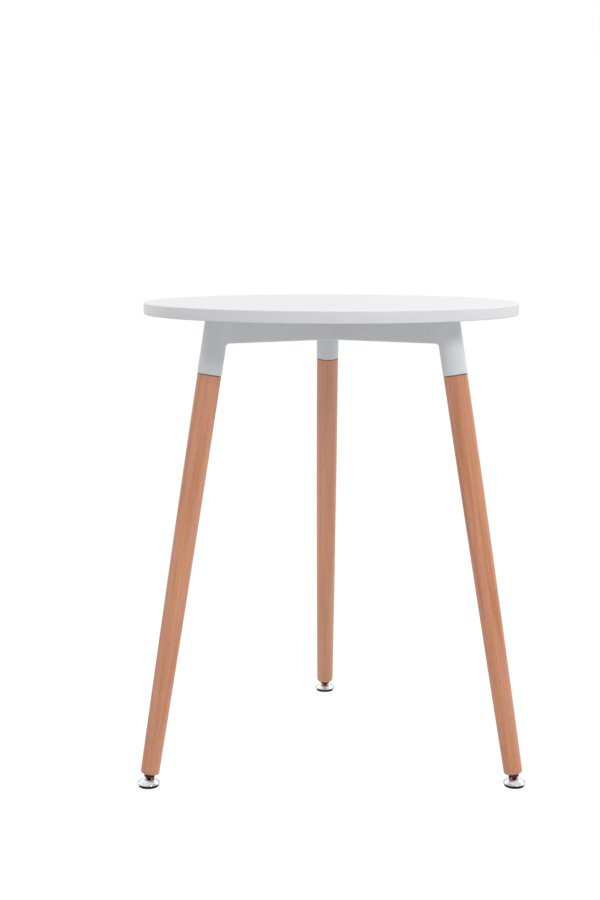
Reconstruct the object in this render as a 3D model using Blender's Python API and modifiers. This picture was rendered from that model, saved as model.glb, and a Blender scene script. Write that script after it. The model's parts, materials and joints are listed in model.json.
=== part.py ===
"""Round side table: a lacquered board top on a cast three-armed bracket, three splayed
turned wooden legs plugged into the bracket's sockets, and a screw-adjusted swivelling foot
under each leg.

Metres, +Z up. The origin is on the floor at the centre of the object's bounding box. The
table's own axis stands a little in front of it, because the rear foot reaches out past the rim.
"""

from math import acos, asin, cos, degrees, pi, radians, sin, tan

import bmesh
import bpy
from mathutils import Matrix, Vector

# ---- Driving dimensions -----------------------------------------------------------------

TABLE_HEIGHT = 0.750
TOP_DIAMETER = 0.600
TOP_THICKNESS = 0.018
TOP_EDGE_RADIUS = 0.0015

LEG_AZIMUTHS = {"front_left": 210, "front_right": 330, "rear": 90}  # degrees from +X
LEG_SPLAY = radians(10)
FOOT_SPREAD_RADIUS = 0.333  # from the table's axis to where a leg's axis meets the floor
LEG_BOTTOM_DIAMETER = 0.0290
LEG_TAPER_POWER = 1.6  # the taper is slight at the top and quickens downwards
LEG_END_RADIUS = 0.004
LEG_SPIGOT_LENGTH = 0.044

SOCKET_DIAMETER = 0.0380
SOCKET_WALL = 0.0032
SOCKET_LEDGE = 0.0004  # how far the socket stands proud of the leg below it
SOCKET_DEPTH = 0.091  # along the leg's axis, from the board's underside to the socket's end
PARTITION_THICKNESS = 0.006
BOLT_WELL_WALL = 0.004
ARM_WIDTH = 0.026
ARM_DEPTH = 0.042
ARM_WALL = 0.004
ARM_CORNER_RADIUS = 0.016  # in plan, where two arms meet
BOSS_WALL = 0.0042  # round a screw's head well
INNER_SCREW_RADIUS = 0.048  # from the table's axis
OUTER_SCREW_INSET = 0.054  # from a socket's axis at the top, back along the arm

M6_DIAMETER = 0.006
M6_HEAD_DIAMETER = 0.0105
M6_HEAD_HEIGHT = 0.0035
M6_KEY_DIAMETER = 0.004
M6_KEY_DEPTH = 0.002
M6_GRIP = 0.012  # boss material between the screw's head and the board
M6_INSERT_DIAMETER = 0.010
M6_INSERT_LENGTH = 0.012
M8_DIAMETER = 0.008
M8_HEAD_DIAMETER = 0.013
M8_HEAD_HEIGHT = 0.008
M8_KEY_DIAMETER = 0.006
M8_KEY_DEPTH = 0.004
M8_INSERT_DIAMETER = 0.012
M8_INSERT_LENGTH = 0.020
WASHER_DIAMETER = 0.018
WASHER_THICKNESS = 0.0016

PAD_HEIGHT = 0.0058
PAD_EDGE = 0.0006
CUP_DIAMETER = 0.0355
CUP_RIM_WALL = 0.00185  # from the cup's outside to the recess for the pad
CUP_RIM_LIP = 0.0010
CUP_TOP_DIAMETER = 0.0200
CUP_HEIGHT = 0.0123  # above the floor
CUP_RIM_HEIGHT = 0.0045  # above the floor
CUP_LID = 0.0010
BALL_DIAMETER = 0.009
BALL_HEIGHT = 0.0088  # of its centre above the floor
SEAT_WALL = 0.0011
NECK_DIAMETER = 0.0048
NECK_LENGTH = 0.0056  # from the ball's centre to the hexagon
NECK_CONE_DIAMETER = 0.0120  # under the hexagon, narrowing to the neck
NECK_CONE_HEIGHT = 0.0014
HEX_ACROSS_FLATS = 0.014
HEX_HEIGHT = 0.0054
STUD_THREAD_LENGTH = 0.030

GAP = 0.0003  # between pieces that touch or fit together
HOLE_CLEARANCE = 0.0005  # on the radius, round a bolt or screw that passes through
THREAD_CLEARANCE = 0.0004  # on the radius, between a plain shank and its plain insert
OVERCUT = 0.004  # how far a cutter runs past the face it opens

# ---- Derived places ---------------------------------------------------------------------

TOP_UNDERSIDE = TABLE_HEIGHT - TOP_THICKNESS
BRACKET_TOP = TOP_UNDERSIDE - GAP
ARM_UNDERSIDE = TOP_UNDERSIDE - ARM_DEPTH
UNDERSIDE_ON_LEG = TOP_UNDERSIDE / cos(LEG_SPLAY)  # heights on a leg run along its axis
SOCKET_END = UNDERSIDE_ON_LEG - SOCKET_DEPTH
SOCKET_BORE_RADIUS = SOCKET_DIAMETER / 2 - SOCKET_WALL
BOLT_WELL_RADIUS = SOCKET_DIAMETER / 2 - BOLT_WELL_WALL
SPIGOT_RADIUS = SOCKET_BORE_RADIUS - GAP
LEG_TOP_DIAMETER = SOCKET_DIAMETER - 2 * SOCKET_LEDGE
PARTITION_BOTTOM = SOCKET_END + LEG_SPIGOT_LENGTH + GAP
PARTITION_TOP = PARTITION_BOTTOM + PARTITION_THICKNESS
BALL_ON_LEG = BALL_HEIGHT / cos(LEG_SPLAY)
HEX_BOTTOM = BALL_ON_LEG + NECK_LENGTH
HEX_TOP = HEX_BOTTOM + HEX_HEIGHT
LEG_BOTTOM = HEX_TOP + GAP
LEG_SHOULDER = SOCKET_END - GAP
STUD_TIP = HEX_TOP + STUD_THREAD_LENGTH
SEAT_INNER_RADIUS = BALL_DIAMETER / 2 + GAP
SEAT_OUTER_RADIUS = SEAT_INNER_RADIUS + SEAT_WALL
SEAT_HOLLOW_RADIUS = SEAT_OUTER_RADIUS + GAP  # left free in the cup and the pad
OPENING_RADIUS = SEAT_HOLLOW_RADIUS - 2 * CUP_LID
PAD_RADIUS = CUP_DIAMETER / 2 - CUP_RIM_WALL - GAP
BALL_FROM_AXIS = FOOT_SPREAD_RADIUS - BALL_HEIGHT * tan(LEG_SPLAY)
SOCKET_FROM_AXIS = FOOT_SPREAD_RADIUS - TOP_UNDERSIDE * tan(LEG_SPLAY)
SCREW_RADII = {"inner": INNER_SCREW_RADIUS, "outer": SOCKET_FROM_AXIS - OUTER_SCREW_INSET}
HEAD_WELL_RADIUS = M6_HEAD_DIAMETER / 2 + HOLE_CLEARANCE
REAR_REACH = BALL_FROM_AXIS + CUP_DIAMETER / 2
TABLE_AXIS_Y = (TOP_DIAMETER / 2 - REAR_REACH) / 2

# ---- Scene helpers ----------------------------------------------------------------------

for old_object in list(bpy.data.objects):
    bpy.data.objects.remove(old_object, do_unlink=True)


def new_collection(name):
    collection = bpy.data.collections.new(name)
    bpy.context.scene.collection.children.link(collection)
    return collection


PARTS = new_collection("round_side_table")
GUIDES = new_collection("cutters")


def finish(name, color, roughness, metallic=0.0):
    """A plain material with one colour."""
    material = bpy.data.materials.new(name)
    material.use_nodes = True
    shader = material.node_tree.nodes["Principled BSDF"]
    shader.inputs["Base Color"].default_value = (*color, 1.0)
    shader.inputs["Roughness"].default_value = roughness
    shader.inputs["Metallic"].default_value = metallic
    return material


LACQUER = finish("white_lacquer", (0.84, 0.84, 0.87), 0.35)
BRACKET_PAINT = finish("light_grey_powder_coat", (0.55, 0.56, 0.58), 0.45)
BEECH = finish("oiled_beech", (0.57, 0.28, 0.16), 0.5)
ZINC = finish("zinc_plated_steel", (0.62, 0.62, 0.60), 0.35, 1.0)
CHROME = finish("chrome", (0.85, 0.85, 0.86), 0.12, 1.0)
BLACK_RUBBER = finish("black_rubber", (0.02, 0.02, 0.02), 0.8)
NYLON = finish("natural_nylon", (0.80, 0.78, 0.72), 0.5)


def axis_empty(name, matrix):
    empty = bpy.data.objects.new(name, None)
    empty.empty_display_size = 0.03
    empty.matrix_world = matrix
    PARTS.objects.link(empty)
    return empty


def add_object(name, mesh, parent, material=None, height=0.0):
    """A new object standing on its parent's Z axis: a piece, or a cutter if it has no material."""
    piece = bpy.data.objects.new(name, mesh)
    piece.parent = parent
    piece.location.z = height
    if material:
        mesh.materials.append(material)
        PARTS.objects.link(piece)
    else:
        piece.hide_render = True
        piece.display_type = "WIRE"
        GUIDES.objects.link(piece)
    return piece


def shade_round(mesh, crease=radians(35)):
    mesh.shade_smooth()
    mesh.set_sharp_from_angle(angle=crease)


def turned(name, profile, parent, material=None, height=0.0, steps=24):
    """A solid turned about its parent's Z axis.

    The profile is a list of (radius, height) that runs down the outer side. Where it doesn't
    start and end on the axis, it is a ring's section, and its last point joins its first.
    """
    mesh = bpy.data.meshes.new(name)
    points = [(radius, 0.0, z) for radius, z in profile]
    edges = [(i, i + 1) for i in range(len(points) - 1)]
    if profile[0][0] > 0:
        edges.append((len(points) - 1, 0))
    mesh.from_pydata(points, edges, [])
    piece = add_object(name, mesh, parent, material, height)
    screw = piece.modifiers.new("turn", "SCREW")
    screw.steps = screw.render_steps = steps
    screw.use_merge_vertices = True
    screw.merge_threshold = 0.00001
    screw.use_smooth_shade = True
    return piece


def boolean(piece, operation, tools):
    for tool in tools:
        modifier = piece.modifiers.new(operation.lower(), "BOOLEAN")
        modifier.operation = operation
        modifier.object = tool
        modifier.solver = "EXACT"


def arc(center_radius, center_height, radius, start, end, count):
    """Profile points on an arc, from angle start to end in degrees above the outward axis."""
    angles = [radians(start + (end - start) * i / count) for i in range(count + 1)]
    return [(center_radius + radius * cos(a), center_height + radius * sin(a)) for a in angles]


def sleeve(outer_radius, inner_radius, bottom, top):
    """The section of a plain ring."""
    return [(outer_radius, top), (outer_radius, bottom), (inner_radius, bottom), (inner_radius, top)]


def rod(radius, bottom, top):
    """The profile of a plain cylinder."""
    return [(0.0, top), (radius, top), (radius, bottom), (0.0, bottom)]


# ---- Axes -------------------------------------------------------------------------------

TABLE_AXIS = axis_empty("table_axis", Matrix.Translation((0.0, TABLE_AXIS_Y, 0.0)))


def leg_axis(place, azimuth):
    """An empty where the leg's axis meets the floor, with +Z up the leg and +X outwards."""
    spin = Matrix.Rotation(radians(azimuth), 4, "Z")
    out = Matrix.Translation((FOOT_SPREAD_RADIUS, 0.0, 0.0))
    splay = Matrix.Rotation(-LEG_SPLAY, 4, "Y")
    return axis_empty(f"{place}_leg_axis", TABLE_AXIS.matrix_world @ spin @ out @ splay)


def upright_axis(name, azimuth, radius, height=0.0):
    """An empty with an upright Z axis at a distance from the table's axis."""
    spin = Matrix.Rotation(radians(azimuth), 4, "Z")
    out = Matrix.Translation((radius, 0.0, height))
    return axis_empty(name, TABLE_AXIS.matrix_world @ spin @ out)


LEG_AXES = {place: leg_axis(place, azimuth) for place, azimuth in LEG_AZIMUTHS.items()}
BALL_AXES = {
    place: upright_axis(f"{place}_ball_axis", azimuth, BALL_FROM_AXIS)
    for place, azimuth in LEG_AZIMUTHS.items()
}
SCREW_AXES = {
    f"{place}_{where}": upright_axis(f"{place}_{where}_screw_axis", azimuth, radius)
    for place, azimuth in LEG_AZIMUTHS.items()
    for where, radius in SCREW_RADII.items()
}

# ---- Board top --------------------------------------------------------------------------


def board_profile():
    rim = TOP_DIAMETER / 2 - TOP_EDGE_RADIUS
    upper = arc(rim, TABLE_HEIGHT - TOP_EDGE_RADIUS, TOP_EDGE_RADIUS, 90, 0, 2)
    lower = arc(rim, TOP_UNDERSIDE + TOP_EDGE_RADIUS, TOP_EDGE_RADIUS, 0, -90, 2)
    return [(0.0, TABLE_HEIGHT), *upper, *lower, (0.0, TOP_UNDERSIDE)]


def make_table_top():
    top = turned("table_top", board_profile(), TABLE_AXIS, LACQUER, steps=80)
    hole_top = TOP_UNDERSIDE + M6_INSERT_LENGTH + 2 * GAP
    hole = rod(M6_INSERT_DIAMETER / 2 + GAP, TOP_UNDERSIDE - OVERCUT, hole_top)
    cutters = [
        turned(f"{place}_insert_hole", hole, axis, steps=16) for place, axis in SCREW_AXES.items()
    ]
    boolean(top, "DIFFERENCE", cutters)


# ---- Bracket ----------------------------------------------------------------------------


def star_outline(width, reach, corner_radius, corner_steps=5):
    """Three straight arms at the legs' azimuths, with rounded inside corners, in plan."""
    points = []
    corner = (width / 2 + corner_radius) / sin(pi / 3)
    for azimuth in sorted(LEG_AZIMUTHS.values()):
        along = Vector((cos(radians(azimuth)), sin(radians(azimuth))))
        across = Vector((-along.y, along.x))
        points.append(along * reach - across * width / 2)
        points.append(along * reach + across * width / 2)
        bisector = radians(azimuth + 60)
        center = Vector((cos(bisector), sin(bisector))) * corner
        for i in range(corner_steps + 1):
            angle = bisector + pi + radians(30 - 60 * i / corner_steps)
            points.append(center + Vector((cos(angle), sin(angle))) * corner_radius)
    return points


def star_prism(name, outline, bottom, top, material=None):
    """An upright solid of a plan outline, made from a filled 2D curve."""
    curve = bpy.data.curves.new(name, "CURVE")
    curve.dimensions = "2D"
    curve.fill_mode = "BOTH"
    curve.extrude = (top - bottom) / 2
    spline = curve.splines.new("POLY")
    spline.points.add(len(outline) - 1)
    for point, place in zip(spline.points, outline):
        point.co = (place.x, place.y, 0.0, 1.0)
    spline.use_cyclic_u = True
    guide = bpy.data.objects.new(f"{name}_outline", curve)
    PARTS.objects.link(guide)
    bpy.context.view_layer.update()
    graph = bpy.context.evaluated_depsgraph_get()
    mesh = bpy.data.meshes.new_from_object(guide.evaluated_get(graph))
    bpy.data.objects.remove(guide, do_unlink=True)
    weld = bmesh.new()
    weld.from_mesh(mesh)
    bmesh.ops.remove_doubles(weld, verts=weld.verts, dist=0.000001)
    bmesh.ops.recalc_face_normals(weld, faces=weld.faces)
    weld.to_mesh(mesh)
    weld.free()
    shade_round(mesh)
    return add_object(name, mesh, TABLE_AXIS, material, (bottom + top) / 2)


def trimming_block():
    """A block that stands on the bracket's top plane."""
    size = 2 * TOP_DIAMETER
    mesh = bpy.data.meshes.new("bracket_trim")
    block = bmesh.new()
    bmesh.ops.create_cube(block, size=size)
    block.to_mesh(mesh)
    block.free()
    return add_object("bracket_trim", mesh, TABLE_AXIS, height=BRACKET_TOP + size / 2)


def make_bracket():
    outline = star_outline(ARM_WIDTH, SOCKET_FROM_AXIS, ARM_CORNER_RADIUS)
    untrimmed_top = BRACKET_TOP + OVERCUT
    bracket = star_prism("bracket", outline, ARM_UNDERSIDE, untrimmed_top, BRACKET_PAINT)
    channel_reach = SOCKET_FROM_AXIS - SOCKET_DIAMETER / 2 - ARM_WALL
    channel_outline = star_outline(
        ARM_WIDTH - 2 * ARM_WALL, channel_reach, ARM_CORNER_RADIUS + ARM_WALL
    )
    channel = star_prism(
        "arm_channel", channel_outline, ARM_UNDERSIDE + ARM_WALL, untrimmed_top + OVERCUT
    )
    boolean(bracket, "DIFFERENCE", [channel])

    boss = rod(HEAD_WELL_RADIUS + BOSS_WALL, ARM_UNDERSIDE + ARM_WALL / 2, BRACKET_TOP + OVERCUT / 2)
    for place, axis in SCREW_AXES.items():
        boolean(bracket, "UNION", [turned(f"{place}_boss", boss, axis, steps=16)])
    tube = rod(SOCKET_DIAMETER / 2, SOCKET_END, UNDERSIDE_ON_LEG + 3 * OVERCUT)
    for place, axis in LEG_AXES.items():
        boolean(bracket, "UNION", [turned(f"{place}_socket", tube, axis, steps=32)])
    boolean(bracket, "DIFFERENCE", [trimming_block()])

    bolt_hole_radius = M8_DIAMETER / 2 + HOLE_CLEARANCE
    bore = [
        (0.0, UNDERSIDE_ON_LEG + 4 * OVERCUT),
        (BOLT_WELL_RADIUS, UNDERSIDE_ON_LEG + 4 * OVERCUT),
        (BOLT_WELL_RADIUS, PARTITION_TOP),
        (bolt_hole_radius, PARTITION_TOP),
        (bolt_hole_radius, PARTITION_BOTTOM),
        (SOCKET_BORE_RADIUS, PARTITION_BOTTOM),
        (SOCKET_BORE_RADIUS, SOCKET_END - OVERCUT),
        (0.0, SOCKET_END - OVERCUT),
    ]
    for place, axis in LEG_AXES.items():
        boolean(bracket, "DIFFERENCE", [turned(f"{place}_bore", bore, axis, steps=30)])

    screw_hole_radius = M6_DIAMETER / 2 + HOLE_CLEARANCE
    shoulder = BRACKET_TOP - M6_GRIP
    screw_hole = [
        (0.0, BRACKET_TOP + 2 * OVERCUT),
        (screw_hole_radius, BRACKET_TOP + 2 * OVERCUT),
        (screw_hole_radius, shoulder),
        (HEAD_WELL_RADIUS, shoulder),
        (HEAD_WELL_RADIUS, ARM_UNDERSIDE - OVERCUT),
        (0.0, ARM_UNDERSIDE - OVERCUT),
    ]
    for place, axis in SCREW_AXES.items():
        cutter = turned(f"{place}_screw_hole", screw_hole, axis, steps=16)
        boolean(bracket, "DIFFERENCE", [cutter])


# ---- Fixings of the board ---------------------------------------------------------------


def make_top_fixings():
    """Machine screws from below through the bracket's bosses into inserts in the board."""
    seat = BRACKET_TOP - M6_GRIP - GAP
    head_radius = M6_HEAD_DIAMETER / 2
    head_bottom = seat - M6_HEAD_HEIGHT
    screw_tip = TOP_UNDERSIDE + M6_INSERT_LENGTH - GAP
    screw = [
        (0.0, screw_tip),
        (M6_DIAMETER / 2, screw_tip),
        (M6_DIAMETER / 2, seat),
        (head_radius, seat),
        (head_radius, head_bottom + M6_HEAD_HEIGHT / 3),
        (head_radius - M6_HEAD_HEIGHT / 3, head_bottom),
        (M6_KEY_DIAMETER / 2, head_bottom),
        (M6_KEY_DIAMETER / 2, head_bottom + M6_KEY_DEPTH),
        (0.0, head_bottom + M6_KEY_DEPTH),
    ]
    insert = sleeve(
        M6_INSERT_DIAMETER / 2,
        M6_DIAMETER / 2 + THREAD_CLEARANCE,
        TOP_UNDERSIDE + GAP,
        TOP_UNDERSIDE + GAP + M6_INSERT_LENGTH,
    )
    for place, axis in SCREW_AXES.items():
        turned(f"{place}_top_screw", screw, axis, ZINC, steps=16)
        turned(f"{place}_top_insert", insert, axis, ZINC, steps=14)


# ---- Legs -------------------------------------------------------------------------------


def leg_radius(height):
    """The turned leg's radius at a height along its axis."""
    share = (LEG_SHOULDER - height) / (LEG_SHOULDER - LEG_BOTTOM)
    narrowing = (LEG_TOP_DIAMETER - LEG_BOTTOM_DIAMETER) * share**LEG_TAPER_POWER
    return (LEG_TOP_DIAMETER - narrowing) / 2


def leg_profile(taper_steps=7, end_steps=3):
    spigot_top = LEG_SHOULDER + LEG_SPIGOT_LENGTH
    profile = [(0.0, spigot_top), (SPIGOT_RADIUS, spigot_top), (SPIGOT_RADIUS, LEG_SHOULDER)]
    end_height = LEG_BOTTOM + LEG_END_RADIUS
    for i in range(taper_steps + 1):
        height = LEG_SHOULDER + (end_height - LEG_SHOULDER) * i / taper_steps
        profile.append((leg_radius(height), height))
    end_center = leg_radius(end_height) - LEG_END_RADIUS
    profile += arc(end_center, end_height, LEG_END_RADIUS, 0, -90, end_steps)[1:]
    profile.append((0.0, LEG_BOTTOM))
    return profile


def make_leg(place, axis):
    """The wooden leg, and the inserts in its two ends."""
    leg = turned(f"{place}_leg", leg_profile(), axis, BEECH, steps=24)
    insert_radius = M8_INSERT_DIAMETER / 2
    thread_radius = M8_DIAMETER / 2 + THREAD_CLEARANCE
    spigot_top = LEG_SHOULDER + LEG_SPIGOT_LENGTH
    top_insert_bottom = spigot_top - GAP - M8_INSERT_LENGTH
    top_hole = rod(insert_radius + GAP, top_insert_bottom - GAP, spigot_top + OVERCUT)
    foot_insert_top = LEG_BOTTOM + GAP + M8_INSERT_LENGTH
    stud_hole_radius = M8_DIAMETER / 2 + HOLE_CLEARANCE
    foot_hole = [
        (0.0, STUD_TIP + OVERCUT),
        (stud_hole_radius, STUD_TIP + OVERCUT),
        (stud_hole_radius, foot_insert_top + GAP),
        (insert_radius + GAP, foot_insert_top + GAP),
        (insert_radius + GAP, LEG_BOTTOM - OVERCUT),
        (0.0, LEG_BOTTOM - OVERCUT),
    ]
    cutters = [
        turned(f"{place}_leg_top_hole", top_hole, axis, steps=16),
        turned(f"{place}_leg_foot_hole", foot_hole, axis, steps=16),
    ]
    boolean(leg, "DIFFERENCE", cutters)
    top_insert = sleeve(insert_radius, thread_radius, top_insert_bottom, spigot_top - GAP)
    turned(f"{place}_leg_insert", top_insert, axis, ZINC, steps=14)
    foot_insert = sleeve(insert_radius, thread_radius, LEG_BOTTOM + GAP, foot_insert_top)
    turned(f"{place}_foot_insert", foot_insert, axis, ZINC, steps=14)


def make_leg_bolt(place, axis):
    """The bolt that draws a leg up into its socket, with its washer."""
    washer_bottom = PARTITION_TOP + GAP
    washer_top = washer_bottom + WASHER_THICKNESS
    washer = sleeve(
        WASHER_DIAMETER / 2, M8_DIAMETER / 2 + THREAD_CLEARANCE, washer_bottom, washer_top
    )
    turned(f"{place}_leg_washer", washer, axis, ZINC, steps=16)
    head_bottom = washer_top + GAP
    head_top = head_bottom + M8_HEAD_HEIGHT
    bolt_tip = LEG_SHOULDER + LEG_SPIGOT_LENGTH - M8_INSERT_LENGTH
    bolt = [
        (0.0, head_top - M8_KEY_DEPTH),
        (M8_KEY_DIAMETER / 2, head_top - M8_KEY_DEPTH),
        (M8_KEY_DIAMETER / 2, head_top),
        (M8_HEAD_DIAMETER / 2, head_top),
        (M8_HEAD_DIAMETER / 2, head_bottom),
        (M8_DIAMETER / 2, head_bottom),
        (M8_DIAMETER / 2, bolt_tip),
        (0.0, bolt_tip),
    ]
    turned(f"{place}_leg_bolt", bolt, axis, ZINC, steps=16)


# ---- Feet -------------------------------------------------------------------------------


def make_stud(place, axis):
    """The foot's screw: thread, hexagon, neck and ball in one piece."""
    ball_radius = BALL_DIAMETER / 2
    neck_radius = NECK_DIAMETER / 2
    ball = arc(0.0, 0.0, ball_radius, degrees(acos(neck_radius / ball_radius)), -90, 6)
    tip = STUD_TIP - BALL_ON_LEG
    profile = [
        (0.0, tip),
        (M8_DIAMETER / 2, tip),
        (M8_DIAMETER / 2, NECK_LENGTH + HEX_HEIGHT / 2),
        (NECK_CONE_DIAMETER / 2, NECK_LENGTH + HEX_HEIGHT / 2),
        (NECK_CONE_DIAMETER / 2, NECK_LENGTH),
        (neck_radius, NECK_LENGTH - NECK_CONE_HEIGHT),
        *ball[:-1],
        (0.0, -ball_radius),
    ]
    stud = turned(f"{place}_foot_stud", profile, axis, ZINC, height=BALL_ON_LEG, steps=16)
    mesh = bpy.data.meshes.new(f"{place}_hexagon")
    prism = bmesh.new()
    corner_radius = HEX_ACROSS_FLATS / 2 / cos(pi / 6)
    bmesh.ops.create_cone(
        prism,
        cap_ends=True,
        segments=6,
        radius1=corner_radius,
        radius2=corner_radius,
        depth=HEX_HEIGHT,
    )
    prism.to_mesh(mesh)
    prism.free()
    hexagon = add_object(f"{place}_hexagon", mesh, axis, height=(HEX_BOTTOM + HEX_TOP) / 2)
    boolean(stud, "UNION", [hexagon])


def make_seat(place, axis):
    """The nylon half-shell that the ball sits in."""
    outer = arc(0.0, 0.0, SEAT_OUTER_RADIUS, 0, -90, 5)
    inner = arc(0.0, 0.0, SEAT_INNER_RADIUS, -90, 0, 5)
    profile = [(0.0, inner[0][1]), *inner[1:], *outer[:-1], (0.0, outer[-1][1])]
    turned(f"{place}_foot_seat", profile, axis, NYLON, height=BALL_ON_LEG, steps=16)


def cup_profile():
    """The bell-shaped cup's section, about the upright axis through the ball."""
    rim_radius = CUP_DIAMETER / 2
    top_radius = CUP_TOP_DIAMETER / 2
    recess_radius = rim_radius - CUP_RIM_WALL
    ceiling = CUP_HEIGHT - CUP_LID
    bell = [
        (OPENING_RADIUS, CUP_HEIGHT),
        (top_radius, CUP_HEIGHT),
        (top_radius + CUP_LID, CUP_HEIGHT - CUP_LID / 2),
        (rim_radius - CUP_RIM_LIP, CUP_RIM_HEIGHT + 2 * CUP_RIM_LIP),
        (rim_radius, CUP_RIM_HEIGHT + CUP_RIM_LIP),
        (rim_radius, CUP_RIM_HEIGHT),
    ]
    hollow = [
        (recess_radius, CUP_RIM_HEIGHT),
        (recess_radius, PAD_HEIGHT + GAP),
        (SEAT_HOLLOW_RADIUS, PAD_HEIGHT + GAP),
        (SEAT_HOLLOW_RADIUS, ceiling),
        (OPENING_RADIUS, ceiling),
    ]
    return [(radius, height - BALL_HEIGHT) for radius, height in bell + hollow]


def pad_profile():
    """The rubber pad's section, dished to clear the seat."""
    dish_depth = BALL_HEIGHT - PAD_HEIGHT
    brim_angle = -degrees(asin(dish_depth / SEAT_HOLLOW_RADIUS))
    dish = arc(0.0, 0.0, SEAT_HOLLOW_RADIUS, -90, brim_angle, 4)
    return [
        (0.0, -SEAT_HOLLOW_RADIUS),
        *dish[1:],
        (PAD_RADIUS, -dish_depth),
        (PAD_RADIUS, PAD_EDGE - BALL_HEIGHT),
        (PAD_RADIUS - PAD_EDGE, -BALL_HEIGHT),
        (0.0, -BALL_HEIGHT),
    ]


for place, axis in LEG_AXES.items():
    make_leg(place, axis)
    make_leg_bolt(place, axis)
    make_stud(place, axis)
    make_seat(place, axis)
for place, axis in BALL_AXES.items():
    turned(f"{place}_foot_cup", cup_profile(), axis, CHROME, height=BALL_HEIGHT, steps=24)
    turned(f"{place}_foot_pad", pad_profile(), axis, BLACK_RUBBER, height=BALL_HEIGHT, steps=24)
make_table_top()
make_bracket()
make_top_fixings()
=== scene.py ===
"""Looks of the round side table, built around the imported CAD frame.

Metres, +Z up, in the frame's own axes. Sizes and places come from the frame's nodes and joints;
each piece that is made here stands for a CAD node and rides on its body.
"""
import json
from math import atan2, ceil, cos, degrees, hypot, pi, radians, sin, sqrt, tan

import bmesh
import bpy
import numpy as np
import openvdb
from mathutils import Matrix, Vector


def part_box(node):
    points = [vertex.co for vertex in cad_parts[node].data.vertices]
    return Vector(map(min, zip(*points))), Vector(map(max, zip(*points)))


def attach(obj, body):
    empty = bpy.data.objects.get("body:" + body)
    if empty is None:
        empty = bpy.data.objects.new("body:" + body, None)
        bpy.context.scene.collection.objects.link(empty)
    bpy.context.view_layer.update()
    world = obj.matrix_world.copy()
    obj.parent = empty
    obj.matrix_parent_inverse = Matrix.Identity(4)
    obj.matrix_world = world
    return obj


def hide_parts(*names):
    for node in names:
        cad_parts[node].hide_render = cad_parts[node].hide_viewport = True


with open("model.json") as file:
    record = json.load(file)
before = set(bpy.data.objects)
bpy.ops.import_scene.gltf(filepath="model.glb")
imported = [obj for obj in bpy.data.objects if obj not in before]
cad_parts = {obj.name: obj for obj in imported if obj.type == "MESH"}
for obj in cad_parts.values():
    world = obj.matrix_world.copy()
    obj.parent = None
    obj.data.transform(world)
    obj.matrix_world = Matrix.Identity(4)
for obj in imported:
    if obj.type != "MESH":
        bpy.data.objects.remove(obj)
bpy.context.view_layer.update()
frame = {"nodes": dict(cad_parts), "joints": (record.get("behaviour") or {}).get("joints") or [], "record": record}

# ---- The frame's places -----------------------------------------------------------------

PLACES = ("front_left", "front_right", "rear")
SCREW_SPOTS = [f"{place}_{where}" for place in PLACES for where in ("inner", "outer")]
JOINTS = {joint["name"]: joint for joint in frame["joints"]}
BODY_OF = {
    node: body for body, nodes in frame["record"]["behaviour"]["bodies"].items() for node in nodes
}
TOP_LOW, TOP_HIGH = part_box("table_top")
BRACKET_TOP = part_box("bracket")[1].z
MILLIMETRE = 0.001
NEAR = 0.1 * MILLIMETRE  # points this near a level or a radius count as on it
FIT = 0.3 * MILLIMETRE  # between pieces that touch or fit together
UPRIGHT = Vector((0.0, 0.0, 1.0))
TABLE_AXIS = Vector(((TOP_LOW.x + TOP_HIGH.x) / 2, (TOP_LOW.y + TOP_HIGH.y) / 2, 0.0))


def basis(origin, x_axis, y_axis, z_axis):
    rotation = Matrix((x_axis, y_axis, z_axis)).transposed().to_4x4()
    return Matrix.Translation(origin) @ rotation


def ball_of(place):
    return Vector(JOINTS[f"{place}_foot_tilt"]["pos_m"])


def outwards(place):
    out = ball_of(place) - TABLE_AXIS
    out.z = 0.0
    return out.normalized()


def leg_frame(place):
    """Origin at the ball of the foot, +Z up the leg's axis and +Y along the tilt's axis."""
    up = -Vector(JOINTS[f"{place}_foot_height"]["axis"]).normalized()
    side = UPRIGHT.cross(outwards(place))
    return basis(ball_of(place), side.cross(up), side, up)


def lean_of(place):
    """The angle between a leg's axis and upright."""
    return (leg_frame(place).to_3x3() @ UPRIGHT).angle(UPRIGHT)


def foot_frame(place):
    """Origin at the ball of the foot, +Z upright."""
    return Matrix.Translation(ball_of(place))


def screw_frame(spot):
    """Origin under a screw of the board, at the level of the floor, +Z upright."""
    low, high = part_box(f"{spot}_top_screw")
    return Matrix.Translation(((low.x + high.x) / 2, (low.y + high.y) / 2, 0.0))


def turned_points(node, place_matrix):
    """(radius, height) of a node's points about the Z axis of a place."""
    points = np.array([vertex.co for vertex in frame["nodes"][node].data.vertices])
    inverse = np.array(place_matrix.inverted())
    local = points @ inverse[:3, :3].T + inverse[:3, 3]
    return np.hypot(local[:, 0], local[:, 1]), local[:, 2]


def spigot_size(place):
    """The radius of the leg's spigot, and the height of its top on the leg's axis."""
    radii, heights = turned_points(f"{place}_leg", leg_frame(place))
    top = float(heights.max())
    return float(radii[heights > top - MILLIMETRE].max()), top


def shoulder_of(place):
    """The height on the leg's axis at which its wood meets the socket's end."""
    spigot_radius, _ = spigot_size(place)
    radii, heights = turned_points(f"{place}_leg", leg_frame(place))
    return float(heights[radii > spigot_radius + NEAR].max())


# ---- Mesh helpers -----------------------------------------------------------------------


def new_object(name, mesh, matrix):
    piece = bpy.data.objects.new(name, mesh)
    bpy.context.scene.collection.objects.link(piece)
    piece.matrix_world = matrix
    return piece


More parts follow.
